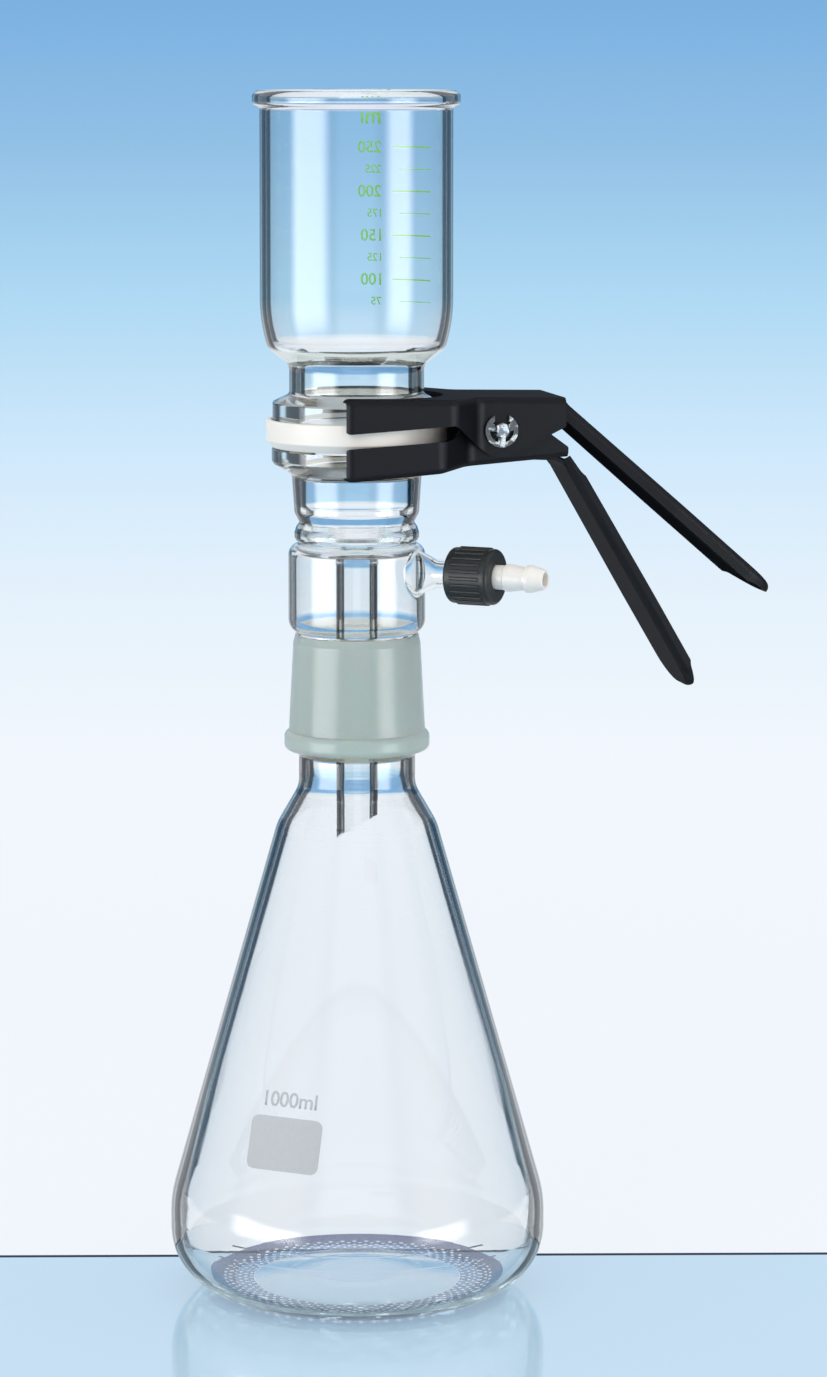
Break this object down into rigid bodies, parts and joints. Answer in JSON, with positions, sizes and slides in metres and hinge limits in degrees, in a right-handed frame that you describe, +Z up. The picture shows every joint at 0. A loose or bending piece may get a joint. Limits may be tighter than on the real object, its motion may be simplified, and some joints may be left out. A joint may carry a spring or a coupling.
{
  "type": "vacuum filtration unit",
  "caption": "Glass vacuum filtration unit: graduated funnel clamped over a filter base with a suction arm, on a conical receiving flask.",
  "frame": {"origin": "centre of the flask's foot ring, on the surface it stands on", "axes": "+Z up along the glass axis; +X from the glass axis towards the spring clamp's handles; +Y completes a right-handed frame, so the suction arm points 38 degrees from +X towards -Y"},
  "size_m": [0.2129, 0.131, 0.4192],
  "materials": {
    "clear_glass": "clear blown borosilicate glass, ground matt on the tapered joint",
    "white_seal": "white moulded silicone with a satin skin",
    "sintered_glass": "opaque white sintered glass, fine grained",
    "black_clamp": "black satin anodised pressed sheet",
    "bright_steel": "bright turned stainless steel",
    "spring_steel": "drawn spring wire",
    "dark_plastic": "dark grey ribbed moulded plastic",
    "white_plastic": "white moulded plastic, slightly glossy"
  },
  "bodies": {
    "root": {"flask": "clear_glass", "receiver_head": "clear_glass", "funnel": "clear_glass", "seal_ring": "white_seal", "filter_frit": "sintered_glass"},
    "clamp": {"lower_jaw": "black_clamp", "hinge_pin": "bright_steel", "retaining_clips": "bright_steel", "torsion_spring": "spring_steel"},
    "upper_jaw": {"upper_jaw": "black_clamp"},
    "nozzle": {"hose_nozzle": "white_plastic", "nozzle_seal": "white_seal"},
    "cap": {"screw_cap": "dark_plastic"}
  },
  "joints": [
    {"name": "clamp_slide", "type": "slide", "parent": "root", "child": "clamp", "axis": [1, 0, 0], "range_m": [0, 0.08]},
    {"name": "clamp_open", "type": "hinge", "parent": "clamp", "child": "upper_jaw", "pos_m": [0.0468, 0, 0.3022], "axis": [0, 1, 0], "range_deg": [0, 12], "stiffness_Nm_per_rad": 1.5, "springref_deg": -28.65, "deforming": ["torsion_spring"]},
    {"name": "nozzle_lift", "type": "slide", "parent": "root", "child": "nozzle", "axis": [0.788, -0.6157, 0], "range_m": [0, 0.005]},
    {"name": "cap_turn", "type": "hinge", "parent": "nozzle", "child": "cap", "pos_m": [0.03546, -0.0277, 0.253], "axis": [0.788, -0.6157, 0], "range_deg": [0, 720]}
  ],
  "couplings": [
    {"joint": "nozzle_lift", "follows": "cap_turn", "m_per_rad": 0.00039789}
  ]
}
